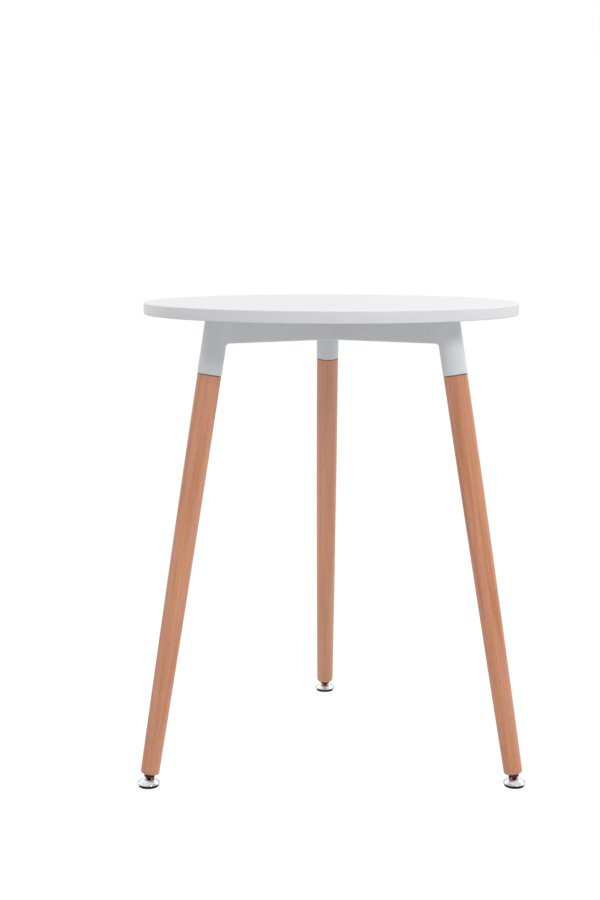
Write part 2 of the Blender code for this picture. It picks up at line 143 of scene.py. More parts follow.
def turned_mesh(name, profile, steps=96, radius_at=None):
    """A solid turned about Z. The profile runs from top to bottom, or round a ring's section.

    radius_at(radius, height, angle) may change the radius round the turn, as a thread does.
    """
    closed = profile[0][0] > 0
    mesh = bmesh.new()
    rings = []
    for radius, height in profile:
        if radius == 0.0:
            rings.append([mesh.verts.new((0.0, 0.0, height))])
            continue
        ring = []
        for i in range(steps):
            angle = 2 * pi * i / steps
            reach = radius_at(radius, height, angle) if radius_at else radius
            ring.append(mesh.verts.new((reach * cos(angle), reach * sin(angle), height)))
        rings.append(ring)
    pairs = list(zip(rings, rings[1:]))
    if closed:
        pairs.append((rings[-1], rings[0]))
    for upper, lower in pairs:
        for i in range(steps):
            j = (i + 1) % steps
            corners = [upper[i % len(upper)], lower[i % len(lower)]]
            corners += [lower[j % len(lower)], upper[j % len(upper)]]
            mesh.faces.new(list(dict.fromkeys(corners)))
    data = bpy.data.meshes.new(name)
    bmesh.ops.recalc_face_normals(mesh, faces=mesh.faces)
    mesh.to_mesh(data)
    mesh.free()
    return data


def shade_round(mesh, crease=radians(40)):
    mesh.shade_smooth()
    mesh.set_sharp_from_angle(angle=crease)


def arc(center_radius, center_height, radius, start, end, count):
    """Profile points on an arc, from angle start to end in degrees above the outward axis."""
    angles = [radians(start + (end - start) * i / count) for i in range(count + 1)]
    return [(center_radius + radius * cos(a), center_height + radius * sin(a)) for a in angles]


def hexagon_mesh(name, across_flats, bottom, top):
    mesh = bmesh.new()
    radius = across_flats / 2 / cos(pi / 6)
    bmesh.ops.create_cone(
        mesh, cap_ends=True, segments=6, radius1=radius, radius2=radius, depth=top - bottom
    )
    bmesh.ops.translate(mesh, verts=mesh.verts, vec=(0.0, 0.0, (top + bottom) / 2))
    data = bpy.data.meshes.new(name)
    mesh.to_mesh(data)
    mesh.free()
    return data


def apply_modifiers(piece):
    bpy.context.view_layer.update()
    graph = bpy.context.evaluated_depsgraph_get()
    result = bpy.data.meshes.new_from_object(piece.evaluated_get(graph))
    piece.modifiers.clear()
    piece.data = result


def combine(piece, operation, tool_mesh):
    """Applies one exact Boolean, with a tool in the piece's own place, and removes the tool."""
    tool = new_object("tool", tool_mesh, piece.matrix_world)
    modifier = piece.modifiers.new("combine", "BOOLEAN")
    modifier.operation = operation
    modifier.object = tool
    modifier.solver = "EXACT"
    apply_modifiers(piece)
    bpy.data.objects.remove(tool)


def finish_piece(piece, material, *nodes, crease=radians(40)):
    """Gives a piece its material, and stands it in for its CAD nodes on their body."""
    piece.data.materials.clear()
    piece.data.materials.append(material)
    shade_round(piece.data, crease)
    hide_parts(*nodes)
    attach(piece, BODY_OF[nodes[0]])


# ---- Materials --------------------------------------------------------------------------

MIX_COLOR_INPUTS = (0, 6, 7)  # the factor and the two colours of a Mix node set to colours
MIX_COLOR_OUTPUT = 2


class Nodes:
    """A node tree and short ways to add to it."""

    def __init__(self, tree):
        self.tree = tree

    def link(self, source, target):
        self.tree.links.new(source, target)

    def node(self, kind, inputs=None, **settings):
        node = self.tree.nodes.new(kind)
        for name, value in settings.items():
            setattr(node, name, value)
        for key, value in (inputs or {}).items():
            if isinstance(value, bpy.types.NodeSocket):
                self.link(value, node.inputs[key])
            else:
                node.inputs[key].default_value = value
        return node

    def math(self, operation, *values, clamp=False):
        inputs = dict(enumerate(values))
        node = self.node("ShaderNodeMath", inputs, operation=operation, use_clamp=clamp)
        return node.outputs["Value"]

    def end_by_ray(self, kind, other_rays, camera_rays):
        """Ends the tree with one shader for what the camera sees and one for all other rays."""
        is_camera = self.node("ShaderNodeLightPath").outputs["Is Camera Ray"]
        choice = self.node("ShaderNodeMixShader", {0: is_camera, 1: other_rays, 2: camera_rays})
        self.node(kind, {"Surface": choice.outputs[0]})


class Shader(Nodes):
    """A Principled material and short ways to add the nodes that feed it."""

    def __init__(self, name, color, roughness, metallic=0.0, **sockets):
        self.material = bpy.data.materials.new(name)
        self.material.use_nodes = True
        super().__init__(self.material.node_tree)
        self.principled = self.tree.nodes["Principled BSDF"]
        self.set("Base Color", (*color, 1.0))
        self.set("Roughness", roughness)
        self.set("Metallic", metallic)
        for socket, value in sockets.items():
            self.set(socket.replace("_", " ").title().replace("Ior", "IOR"), value)
        self.coordinates = self.tree.nodes.new("ShaderNodeTexCoord").outputs["Object"]

    def set(self, socket, value):
        self.principled.inputs[socket].default_value = value

    def feed(self, socket, source):
        self.link(source, self.principled.inputs[socket])

    def stretched(self, scale, shift=(0.0, 0.0, 0.0), source=None):
        """Object coordinates, in metres, times a scale on each axis."""
        return self.node(
            "ShaderNodeMapping",
            {"Vector": source or self.coordinates, "Scale": scale, "Location": shift},
        ).outputs["Vector"]

    def noise(self, vector, scale=1.0, detail=3.0, roughness=0.55, distortion=0.0):
        return self.node(
            "ShaderNodeTexNoise",
            {
                "Vector": vector,
                "Scale": scale,
                "Detail": detail,
                "Roughness": roughness,
                "Distortion": distortion,
            },
        ).outputs["Fac"]

    def spread(self, value, low, high, new_low=0.0, new_high=1.0):
        """Maps a value's stretch from low to high onto a new stretch, and holds it there."""
        inputs = {"Value": value, "From Min": low, "From Max": high}
        inputs |= {"To Min": new_low, "To Max": new_high}
        return self.node("ShaderNodeMapRange", inputs, clamp=True).outputs["Result"]

    def mix(self, share, first, second):
        """A colour between two, each a tuple or another node's output."""
        first, second = ((*c, 1.0) if isinstance(c, tuple) else c for c in (first, second))
        inputs = dict(zip(MIX_COLOR_INPUTS, (share, first, second)))
        node = self.node("ShaderNodeMix", inputs, data_type="RGBA", clamp_factor=True)
        return node.outputs[MIX_COLOR_OUTPUT]

    def mottle(self, value, low, high, first, second):
        """Colours the surface from the first to the second as a value runs from low to high."""
        self.feed("Base Color", self.mix(self.spread(value, low, high), first, second))

    def bump(self, height, distance, strength=1.0, after=None):
        inputs = {"Height": height, "Distance": distance, "Strength": strength}
        if after:
            inputs["Normal"] = after
        return self.node("ShaderNodeBump", inputs).outputs["Normal"]


def lacquer():
    """Satin white lacquer: a faint orange peel, and a trace of cloudiness in colour and gloss."""
    white = Shader("white_lacquer", (0.86, 0.86, 0.90), 0.32, coat_weight=0.2, coat_roughness=0.2)
    clouds = white.noise(white.coordinates, scale=9.0, detail=2.0)
    white.mottle(clouds, 0.3, 0.7, (0.850, 0.848, 0.888), (0.868, 0.866, 0.902))
    handling = white.noise(white.coordinates, scale=42.0, detail=4.0)
    white.feed("Roughness", white.spread(handling, 0.3, 0.7, 0.28, 0.37))
    peel = white.noise(white.coordinates, scale=650.0, detail=1.0)
    white.feed("Normal", white.bump(peel, 0.000012))
    return white.material


def powder_coat():
    """Pale grey powder coat: a fine pebbled skin over the softer unevenness of a casting."""
    coat = Shader("light_grey_powder_coat", (0.825, 0.856, 0.882), 0.42)
    cast = coat.noise(coat.coordinates, scale=60.0, detail=3.0)
    coat.mottle(cast, 0.3, 0.7, (0.812, 0.843, 0.869), (0.838, 0.869, 0.895))
    pebbles = coat.noise(coat.coordinates, scale=1500.0, detail=1.5)
    coat.feed("Roughness", coat.spread(pebbles, 0.25, 0.75, 0.36, 0.5))
    skin = coat.bump(cast, 0.00015)
    coat.feed("Normal", coat.bump(pebbles, 0.00003, after=skin))
    return coat.material


WOOD_DARK = (0.640, 0.225, 0.088)
WOOD_LIGHT = (0.900, 0.405, 0.200)
WOOD_ROSY = (0.840, 0.370, 0.235)
WOOD_LATE = (0.555, 0.195, 0.086)  # the dense part of each growth ring
WOOD_STREAK = (0.555, 0.200, 0.090)
WOOD_FIBRE = (0.890, 0.530, 0.330)
WOOD_FLECK = (0.300, 0.095, 0.040)
# painted light: the pale tone that lifts a leg's wood where more light reaches it
WOOD_PAINTED_LIGHT = (1.000, 0.600, 0.430)
# painted shade: the dark line in the seam where the leg meets the socket
WOOD_SEAM_SHADE = (0.150, 0.055, 0.035)
RING_WIDTH = 3.2 * MILLIMETRE
PITH_DISTANCE = 45 * MILLIMETRE  # from the leg's axis at the foot to the tree's centre
PITH_LEAN = 0.012  # how far the tree's centre moves away for each metre up the leg
RING_SWAY = 6 * MILLIMETRE
SEAM_LOW = 1.7 * MILLIMETRE  # under the shoulder, where the painted shade of the seam starts to show
SEAM_HIGH = 0.9 * MILLIMETRE  # under the shoulder, where it is at its darkest


def beech(name, seed, shoulder, painted_light):
    """Oiled beech: drawn-out growth rings, fine pores and the short dark flecks of its rays.

    Each leg has its own seed, which moves the pattern along and round the leg. The wood is
    painted dark in a line just under the shoulder, at a height on the leg's axis: painted shade in the seam under
    the socket.
    """
    color = (0.66, 0.29, 0.14)
    wood = Shader(name, color, 0.40, coat_weight=0.5, coat_roughness=0.32, coat_ior=1.55)
    shift = (0.31 * seed, 0.17 * seed, 0.73 * seed)
    placed = wood.stretched((1.0, 1.0, 1.0), shift)
    axes = wood.node("ShaderNodeSeparateXYZ", {"Vector": wood.coordinates}).outputs
    x, y, z = axes["X"], axes["Y"], axes["Z"]

    turn = radians(35 + 110 * seed)
    across = wood.math("MULTIPLY_ADD", x, cos(turn), wood.math("MULTIPLY", y, sin(turn)))
    along = wood.math("MULTIPLY_ADD", x, -sin(turn), wood.math("MULTIPLY", y, cos(turn)))
    lean = wood.math("MULTIPLY", z, PITH_LEAN)
    offset = wood.math("ADD", wood.math("ADD", across, PITH_DISTANCE), lean)
    along_squared = wood.math("MULTIPLY", along, along)
    reach = wood.math("SQRT", wood.math("MULTIPLY_ADD", offset, offset, along_squared))
    sway = wood.noise(wood.stretched((9.0, 9.0, 1.6), source=placed), detail=2.0)
    swayed = wood.math("MULTIPLY_ADD", sway, RING_SWAY, reach)
    phase = wood.math("FRACT", wood.math("DIVIDE", swayed, RING_WIDTH))
    late_wood = wood.math("POWER", phase, 2.6)

    patches = wood.noise(wood.stretched((82.0, 82.0, 4.0), (0.2, 0.4, 0.9), placed), detail=2.0)
    bands = wood.noise(wood.stretched((105.0, 105.0, 4.5), source=placed), detail=2.0)
    streaks = wood.noise(wood.stretched((260.0, 260.0, 4.5), source=placed), detail=3.0)
    fibres = wood.noise(wood.stretched((2600.0, 2600.0, 45.0), source=placed), detail=2.0)
    rays = wood.noise(wood.stretched((1500.0, 1500.0, 320.0), source=placed), detail=0.0)
    flecks = wood.spread(rays, 0.66, 0.74)
    # painted shade of the seam under the socket, darkest just below the shoulder
    seam = wood.spread(z, shoulder - SEAM_LOW, shoulder - SEAM_HIGH, 0.0, 0.8)

    base = wood.mix(wood.spread(patches, 0.34, 0.66), WOOD_DARK, WOOD_LIGHT)
    base = wood.mix(wood.spread(bands, 0.44, 0.58, 0.0, 0.75), base, WOOD_ROSY)
    base = wood.mix(wood.math("MULTIPLY", late_wood, 0.34), base, WOOD_LATE)
    base = wood.mix(wood.spread(streaks, 0.35, 0.65, 0.0, 0.40), base, WOOD_STREAK)
    base = wood.mix(wood.spread(fibres, 0.40, 0.70, 0.0, 0.22), base, WOOD_FIBRE)
    base = wood.mix(wood.math("MULTIPLY", flecks, 0.45), base, WOOD_FLECK)
    # painted light: each leg's wood is made paler by its own share
    base = wood.mix(painted_light, base, WOOD_PAINTED_LIGHT)
    base = wood.mix(seam, base, WOOD_SEAM_SHADE)
    wood.feed("Base Color", base)
    wood.feed("Roughness", wood.spread(streaks, 0.3, 0.7, 0.36, 0.48))
    pores = wood.math("MULTIPLY_ADD", flecks, -1.5, fibres)
    wood.feed("Normal", wood.bump(pores, 0.00004))
    return wood.material


def chrome():
    """Bright plate: nearly clean, with hairline wiping marks round the cup and a little bloom."""
    plate = Shader("chrome", (0.86, 0.86, 0.87), 0.08, metallic=1.0)
    bloom = plate.noise(plate.coordinates, scale=160.0, detail=4.0)
    plate.feed("Roughness", plate.spread(bloom, 0.35, 0.75, 0.05, 0.2))
    plate.mottle(bloom, 0.3, 0.8, (0.88, 0.88, 0.89), (0.78, 0.77, 0.77))
    wiping = plate.noise(plate.stretched((400.0, 400.0, 9000.0)), detail=2.0)
    plate.feed("Normal", plate.bump(wiping, 0.000004))
    return plate.material


def steel(name, light, dark, roughness, metallic=1.0):
    """Turned steel under a mottled film, with fine turning marks."""
    plated = Shader(name, light, roughness, metallic=metallic)
    film = plated.noise(plated.coordinates, scale=420.0, detail=4.0)
    plated.mottle(film, 0.3, 0.7, dark, light)
    plated.feed("Roughness", plated.spread(film, 0.3, 0.7, roughness - 0.08, roughness + 0.1))
    turning = plated.noise(plated.stretched((300.0, 300.0, 14000.0)), detail=1.0)
    plated.feed("Normal", plated.bump(turning, 0.000006))
    return plated.material


def rubber():
    """Moulded black rubber with a dusty, slightly grained skin."""
    black = Shader("black_rubber", (0.006, 0.006, 0.006), 0.7, specular_ior_level=0.2)
    grain = black.noise(black.coordinates, scale=2200.0, detail=3.0)
    dust = black.noise(black.coordinates, scale=150.0, detail=4.0)
    black.mottle(dust, 0.45, 0.8, (0.004, 0.004, 0.004), (0.014, 0.014, 0.013))
    black.feed("Roughness", black.spread(grain, 0.3, 0.7, 0.55, 0.8))
    black.feed("Normal", black.bump(grain, 0.00004))
    return black.material


def nylon():
    """Natural nylon, milky and faintly waxy."""
    milky = Shader("natural_nylon", (0.80, 0.78, 0.70), 0.45, subsurface_weight=0.1)
    flow = milky.noise(milky.coordinates, scale=300.0, detail=3.0)
    milky.mottle(flow, 0.3, 0.7, (0.76, 0.74, 0.66), (0.82, 0.80, 0.73))
    milky.feed("Roughness", milky.spread(flow, 0.3, 0.7, 0.38, 0.52))
    return milky.material


LACQUER = lacquer()
POWDER_COAT = powder_coat()
# painted light: each leg's wood is made paler by a share, most for the rear leg, standing in for more light
# reaching it under the board
LEG_PAINTED_LIGHT = {"front_left": 0.08, "front_right": 0.0, "rear": 0.24}
BEECHES = {
    place: beech(f"beech_{place}", seed, shoulder_of(place), LEG_PAINTED_LIGHT[place])
    for seed, place in enumerate(PLACES, 1)
}
CHROME = chrome()
ZINC = steel("zinc_plated_steel", (0.66, 0.66, 0.65), (0.50, 0.50, 0.48), 0.32)
# painted shade and painted reflection: the stud's steel is made dark red-brown, standing in for the wood it
# mirrors and the shade under the leg
STUD_SHADE_AND_REFLECTION = steel("stud_steel_painted_shade_and_reflection", (0.105, 0.036, 0.030), (0.060, 0.020, 0.017), 0.62, 0.25)
YELLOW_ZINC = steel("yellow_zinc", (0.62, 0.54, 0.34), (0.50, 0.42, 0.26), 0.35)
RUBBER = rubber()
NYLON = nylon()

# ---- Board top --------------------------------------------------------------------------

EDGE_RADIUS = 1.5 * MILLIMETRE


def make_table_top():
    """The round board, with its two edges softened."""
    radius = (TOP_HIGH.x - TOP_LOW.x) / 2
    low, high = TOP_LOW.z, TOP_HIGH.z
    rim = radius - EDGE_RADIUS
    profile = [(0.0, high), (rim * 0.5, high), (rim * 0.9, high)]
    profile += arc(rim, high - EDGE_RADIUS, EDGE_RADIUS, 90, 0, 8)
    profile += arc(rim, low + EDGE_RADIUS, EDGE_RADIUS, 0, -90, 8)
    profile += [(rim * 0.9, low), (rim * 0.5, low), (0.0, low)]
    top = new_object("board", turned_mesh("board", profile, 288), Matrix.Translation(TABLE_AXIS))
    finish_piece(top, LACQUER, "table_top", crease=radians(60))


# ---- Bracket ----------------------------------------------------------------------------

ARM_WIDTH = 26 * MILLIMETRE
ARM_DEPTH = 42 * MILLIMETRE
ARM_WALL = 4 * MILLIMETRE
ARM_EDGE = 2 * MILLIMETRE  # radius along the arms' lower edges
HUB_FILLET = 16 * MILLIMETRE  # in plan, where two arms meet
SIDE_FILLET = 8 * MILLIMETRE  # between an arm's side and its socket
LOWER_FILLET = 4.5 * MILLIMETRE  # between an arm's underside and its socket
SOCKET_EDGE = 0.7 * MILLIMETRE
SCREW_HOLE_RADIUS = 3.5 * MILLIMETRE
HEAD_WELL_RADIUS = 5.75 * MILLIMETRE
BOSS_WALL = 4.2 * MILLIMETRE
GRIP = 12 * MILLIMETRE  # metal between a screw's head and the bracket's top
BOLT_WELL_WALL = 4 * MILLIMETRE
PARTITION = 6 * MILLIMETRE
BOLT_HOLE_RADIUS = 4.5 * MILLIMETRE
FILLET_GROWTH = 12 * MILLIMETRE  # of height, from the lower fillet to the side fillet
SOCKET_SURROUND = 30 * MILLIMETRE  # from a leg's axis, round its whole socket
PLAN_REACH = 250 * MILLIMETRE  # from the table's axis, past the sockets
PLAN_MARGIN = 20 * MILLIMETRE  # beside the arms, past the sockets
VOXEL = 0.8 * MILLIMETRE
BAND = 4 * VOXEL  # distances are kept this far from the surface
KEPT_SHARE_OF_FACES = 0.16


def join_round(a, b, radius):
    """Union of two distance fields with a round fillet of a radius between them."""
    inside = np.hypot(np.maximum(radius - a, 0.0), np.maximum(radius - b, 0.0))
    return np.maximum(radius, np.minimum(a, b)) - inside


def cut_round(a, b, radius):
    """Intersection of two distance fields with a round edge of a radius."""
    outside = np.hypot(np.maximum(radius + a, 0.0), np.maximum(radius + b, 0.0))
    return np.minimum(-radius, np.maximum(a, b)) + outside


def star(x, y, width, reach, fillet):
    """Distance in plan from three arms that leave the table's axis."""
    field = None
    for place in PLACES:
        out = outwards(place)
        along = x * out.x + y * out.y
        across = np.abs(y * out.x - x * out.y)
        arm = np.maximum(np.maximum(across - width / 2, -along), along - reach)
        field = arm if field is None else join_round(field, arm, fillet)
    return field


def socket_size():
    """The sockets' outer radius, and the height of their ends on the legs' axes."""
    radii, heights = turned_points("bracket", leg_frame(PLACES[0]))
    end = float(heights[radii < SOCKET_SURROUND].min())
    radius = float(radii[heights < end + MILLIMETRE].max())
    return radius, end


def arm_reach(place):
    """How far from the table's axis a leg's axis meets the bracket's top."""
    height = (BRACKET_TOP - ball_of(place).z) / cos(lean_of(place))
    return hypot(*(leg_frame(place) @ Vector((0, 0, height)) - TABLE_AXIS).xy)


def about_leg(place, x, y, z):
    """Distance from a leg's axis and height on it, of points relative to the table's axis."""
    inverse = np.array((Matrix.Translation(-TABLE_AXIS) @ leg_frame(place)).inverted())
    local_x, local_y, height = (row[0] * x + row[1] * y + row[2] * z + row[3] for row in inverse[:3])
    return np.hypot(local_x, local_y), height


def bracket_field(x, y, z):
    """Distance from the casting's surface, at points relative to the table's axis."""
    underside = BRACKET_TOP + FIT - ARM_DEPTH
    sockets = {place: about_leg(place, x, y, z) for place in PLACES}
    reach = min(arm_reach(place) for place in PLACES)
    field = cut_round(star(x, y, ARM_WIDTH, reach, HUB_FILLET), underside - z, ARM_EDGE)
    socket_radius, socket_end = socket_size()
    rise = np.clip((z - underside) / FILLET_GROWTH, 0.0, 1.0)
    fillet = LOWER_FILLET + (SIDE_FILLET - LOWER_FILLET) * rise * rise * (3 - 2 * rise)
    for radial, height in sockets.values():
        tube = cut_round(radial - socket_radius, socket_end - height, SOCKET_EDGE)
        field = join_round(field, tube, fillet)
    inner_width = ARM_WIDTH - 2 * ARM_WALL
    inner_reach = reach - socket_radius - ARM_WALL
    channel = star(x, y, inner_width, inner_reach, HUB_FILLET + ARM_WALL)
    field = np.maximum(field, -np.maximum(channel, underside + ARM_WALL - z))
    for spot in SCREW_SPOTS:
        center = screw_frame(spot).translation - TABLE_AXIS
        radial = np.hypot(x - center.x, y - center.y)
        boss = np.maximum(radial - HEAD_WELL_RADIUS - BOSS_WALL, underside + ARM_WALL / 2 - z)
        field = np.minimum(field, boss)
        well = np.maximum(radial - HEAD_WELL_RADIUS, z - (BRACKET_TOP - GRIP))
        field = cut_round(field, -well, SOCKET_EDGE)
        field = np.maximum(field, SCREW_HOLE_RADIUS - radial)
    for place, (radial, height) in sockets.items():
        spigot_radius, spigot_top = spigot_size(place)
        partition = spigot_top + FIT
        bore = np.maximum(radial - spigot_radius - FIT, height - partition)
        well = np.maximum(radial - socket_radius + BOLT_WELL_WALL, partition + PARTITION - height)
        bolt_hole = np.maximum(radial - BOLT_HOLE_RADIUS, partition - MILLIMETRE - height)
        field = np.maximum(field, -np.minimum(np.minimum(bore, well), bolt_hole))
    return np.maximum(field, z - BRACKET_TOP)


def make_bracket():
    """The casting, meshed from its distance field and thinned out where it is flat."""
    low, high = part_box("bracket")
    start = np.array(low - TABLE_AXIS) - BAND
    counts = [ceil((high[i] - low[i] + 2 * BAND) / VOXEL) for i in range(3)]
    xs, ys, zs = (start[i] + VOXEL * np.arange(counts[i]) for i in range(3))
    plan_x, plan_y = np.meshgrid(xs, ys, indexing="ij")
    near = star(plan_x, plan_y, ARM_WIDTH, PLAN_REACH, HUB_FILLET) < PLAN_MARGIN
    field = np.full(counts, BAND, np.float32)
    field[near] = bracket_field(plan_x[near][:, None], plan_y[near][:, None], zs[None, :])
    grid = openvdb.FloatGrid(BAND)
    grid.copyFromArray(np.clip(field, -BAND, BAND))
    points, triangles, quads = grid.convertToPolygons(0.0, 0.0)
    points = points * VOXEL + start
    faces = [list(map(int, face[::-1])) for face in [*triangles, *quads]]
    mesh = bpy.data.meshes.new("casting")
    mesh.from_pydata([tuple(map(float, p)) for p in points], [], faces)
    mesh.update()
    piece = new_object("casting", mesh, Matrix.Translation(TABLE_AXIS))
    fewer = piece.modifiers.new("fewer_faces", "DECIMATE")
    fewer.ratio = KEPT_SHARE_OF_FACES
    apply_modifiers(piece)
    finish_piece(piece, POWDER_COAT, "bracket", crease=radians(50))


# ---- Legs -------------------------------------------------------------------------------

LEG_TAPER_POWER = 1.6  # the taper is slight at the top and quickens downwards
LEG_END_RADIUS = 4 * MILLIMETRE
LEG_RINGS = 48
SHOULDER_CHAMFER = 0.4 * MILLIMETRE
STUD_HOLE_RADIUS = 4.5 * MILLIMETRE
STUD_HOLE_SPARE = 4 * MILLIMETRE  # above the stud's tip
OVERCUT = MILLIMETRE  # how far a hole's cutter runs past the face it opens


def hole_mesh(radius, top, bottom):
    """A cutter for a round hole on the leg's axis, between two heights."""
    profile = [(0.0, top), (radius, top), (radius, bottom), (0.0, bottom)]
    return turned_mesh("hole", profile, 48)


def make_leg(place):
    """The turned wooden leg: a spigot, a square shoulder, a tapered shaft and a rounded end."""
    node = f"{place}_leg"
    matrix = leg_frame(place)
    spigot_radius, spigot_top = spigot_size(place)
    shoulder = shoulder_of(place)
    radii, heights = turned_points(node, matrix)
    bottom = float(heights.min())
    top_radius = float(radii[heights > shoulder - MILLIMETRE].max())
    end_radius = float(radii[heights < bottom + LEG_END_RADIUS + MILLIMETRE].max())

    profile = [(0.0, spigot_top), (spigot_radius - SHOULDER_CHAMFER, spigot_top)]
    profile += [(spigot_radius, spigot_top - SHOULDER_CHAMFER), (spigot_radius, shoulder)]
    profile += [(top_radius - SHOULDER_CHAMFER, shoulder)]
    first = shoulder - SHOULDER_CHAMFER
    last = bottom + LEG_END_RADIUS
    for i in range(LEG_RINGS + 1):
        height = first + (last - first) * i / LEG_RINGS
        share = (shoulder - height) / (shoulder - last)
        profile.append((top_radius - (top_radius - end_radius) * share**LEG_TAPER_POWER, height))
    profile += arc(end_radius - LEG_END_RADIUS, last, LEG_END_RADIUS, 0, -90, 8)[1:]
    profile.append((0.0, bottom))
    leg = new_object(f"{place}_turned_leg", turned_mesh(node, profile, 96), matrix)

    insert_radii, insert_heights = turned_points(f"{place}_leg_insert", matrix)
    insert_low = float(insert_heights.min())
    insert_hole_radius = float(insert_radii.max()) + FIT
    foot_insert_top = float(turned_points(f"{place}_foot_insert", matrix)[1].max())
    stud_tip = float(turned_points(f"{place}_foot_stud", matrix)[1].max())
    for radius, top, low in (
        (insert_hole_radius, spigot_top + OVERCUT, insert_low - FIT),
        (insert_hole_radius, foot_insert_top + FIT, bottom - OVERCUT),
        (STUD_HOLE_RADIUS, stud_tip + STUD_HOLE_SPARE, foot_insert_top),
    ):
        combine(leg, "DIFFERENCE", hole_mesh(radius, top, low))
    finish_piece(leg, BEECHES[place], node)


# ---- Feet -------------------------------------------------------------------------------

BALL_RADIUS = 4.5 * MILLIMETRE
NECK_RADIUS = 2.4 * MILLIMETRE
NECK_CONE_RADIUS = 6.8 * MILLIMETRE  # under the hexagon
NECK_CONE_HEIGHT = 1.4 * MILLIMETRE
HEX_ACROSS_FLATS = 14 * MILLIMETRE
HEX_CORNER_RADIUS = HEX_ACROSS_FLATS / 2 / cos(pi / 6)
HEX_TOP_RADIUS = HEX_ACROSS_FLATS / 2 - 0.6 * MILLIMETRE  # of the flat inside the chamfer
HEX_CHAMFER = 1.4 * MILLIMETRE  # of height, at the corners
HEX_SPARE = 0.1 * MILLIMETRE  # how far the chamfer's cone runs past the corners
OVERLAP = MILLIMETRE  # how far two shapes run into each other before they are joined
THREAD_PITCH = 1.25 * MILLIMETRE
THREAD_DEPTH = 0.65 * MILLIMETRE
THREAD_RADIUS = 4 * MILLIMETRE
THREAD_CORE = THREAD_RADIUS - THREAD_DEPTH
THREAD_FLAT = 0.15  # the width of the crests and of the roots, as a share of the pitch
RINGS_PER_TURN = 10
CUP_LID = MILLIMETRE  # the thickness of its top
CUP_EDGE = 0.5 * MILLIMETRE
CUP_LIP = 1.1 * MILLIMETRE  # radius of the rolled rim
CUP_SHOULDER = 9.8 * MILLIMETRE  # where the flat lid starts to turn down
CUP_SHOULDER_RADIUS = 1.4 * MILLIMETRE
CUP_HOLLOW = 6.5 * MILLIMETRE  # radius of the space round the seat
FLARE_STEPS = 9
FLARE_INSET = 0.8 * MILLIMETRE  # from the rim's radius to the flare's lower end
FLARE_RISE = 1.6 * MILLIMETRE  # from the rim's lower edge to the flare's lower end
FLARE_BOW = 0.5 * MILLIMETRE  # how far the flare's middle stands above a straight line
PAD_TOP_EDGE = 0.3 * MILLIMETRE
PAD_LOW_EDGE = 0.8 * MILLIMETRE
PAD_GROOVES = (0.72, 0.44)  # their radii as shares of the pad's
PAD_GROOVE_DEPTH = 0.5 * MILLIMETRE


def thread_depth_at(height, angle):
    """How deep a right-handed thread is cut: flanks with flattened crests and roots."""
    phase = (height / THREAD_PITCH + angle / (2 * pi)) % 1.0
    flank = abs(2 * phase - 1)
    return THREAD_DEPTH * min(max((flank - THREAD_FLAT) / (1 - 2 * THREAD_FLAT), 0.0), 1.0)


def make_stud(place):
    """The foot's screw: a threaded shank, a chamfered hexagon, and a cone, neck and ball."""
    node = f"{place}_foot_stud"
    matrix = leg_frame(place)
    radii, heights = turned_points(node, matrix)
    tip = float(heights.max())
    hexagon = heights[radii > HEX_ACROSS_FLATS / 2]
    hex_bottom, hex_top = float(hexagon.min()), float(hexagon.max())

    def radius_at(radius, height, angle):
        if radius < THREAD_RADIUS:
            return radius
        lead_in = min(1.0, (tip - height) / THREAD_PITCH)
        return THREAD_CORE + (THREAD_DEPTH - thread_depth_at(height, angle)) * lead_in

    rings = ceil((tip - hex_top) / (THREAD_PITCH / RINGS_PER_TURN))
    shank_end = hex_top - OVERLAP
    shank = [(0.0, tip), (THREAD_CORE, tip)]
    for i in range(1, rings + 1):
        shank.append((THREAD_RADIUS, tip + (shank_end - tip) * i / rings))
    shank.append((0.0, shank_end))
    stud = new_object(f"{place}_stud", turned_mesh("stud", shank, 48, radius_at), matrix)

    chamfered = [(0.0, hex_top), (HEX_TOP_RADIUS, hex_top)]
    chamfered += [(HEX_CORNER_RADIUS + HEX_SPARE, hex_top - HEX_CHAMFER)]
    chamfered += [(HEX_CORNER_RADIUS, hex_bottom), (0.0, hex_bottom)]
    head = new_object("head", turned_mesh("head", chamfered, 72), matrix)
    prism = hexagon_mesh("prism", HEX_ACROSS_FLATS, hex_bottom - OVERLAP, hex_top + OVERLAP)
    combine(head, "INTERSECT", prism)

    neck_start = degrees(atan2(sqrt(BALL_RADIUS**2 - NECK_RADIUS**2), NECK_RADIUS))
    neck = [(0.0, hex_bottom + OVERLAP), (NECK_CONE_RADIUS, hex_bottom + OVERLAP)]
    neck += [(NECK_CONE_RADIUS, hex_bottom), (NECK_RADIUS, hex_bottom - NECK_CONE_HEIGHT)]
    neck += arc(0.0, 0.0, BALL_RADIUS, neck_start, -90, 16)[:-1]
    neck.append((0.0, -BALL_RADIUS))
    combine(head, "UNION", turned_mesh("neck", neck, 48))
    combine(stud, "UNION", head.data.copy())
    bpy.data.objects.remove(head)
    finish_piece(stud, STUD_SHADE_AND_REFLECTION, node, crease=radians(35))


